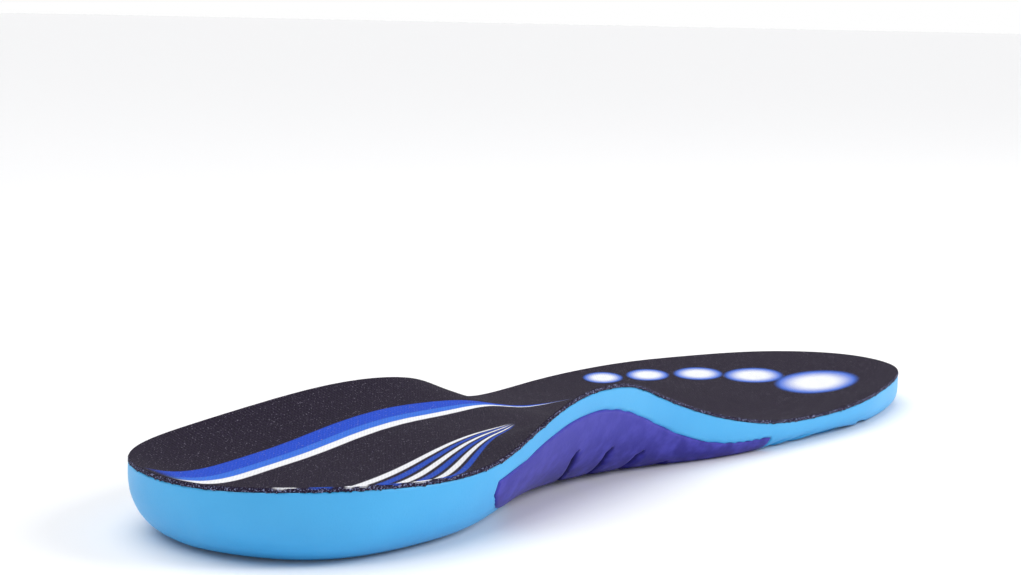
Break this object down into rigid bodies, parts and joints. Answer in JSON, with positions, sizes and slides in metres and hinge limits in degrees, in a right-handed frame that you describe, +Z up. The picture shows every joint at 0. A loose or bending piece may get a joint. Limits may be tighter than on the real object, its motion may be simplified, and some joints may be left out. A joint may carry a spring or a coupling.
{
  "type": "cushioned insole",
  "caption": "Full-length left shoe insole: moulded foam body with a raised arch and heel cup, stiff arch shell, gel cushions under heel and forefoot, round forefoot disc and a knitted top cover.",
  "frame": {"origin": "middle of the insole's bounding box, on the floor under the sole", "axes": "+X from heel to toe, +Y towards the outer side of the left foot, +Z up from the sole to the footbed"},
  "size_m": [0.31, 0.1024, 0.0293],
  "materials": {
    "knit_cover": "printed brushed knit, matt",
    "foam": "moulded polyurethane foam, satin skin",
    "arch_plastic": "semi-rigid moulded plastic, satin",
    "gel": "clear-tinted elastomer gel, glossy",
    "disc_foam": "fine-grained cushioning foam, satin"
  },
  "bodies": {
    "root": {"top_cover": "knit_cover", "foam_body": "foam", "arch_shell": "arch_plastic", "heel_gel_pad": "gel", "forefoot_gel_pad": "gel", "forefoot_disc": "disc_foam"}
  },
  "joints": []
}
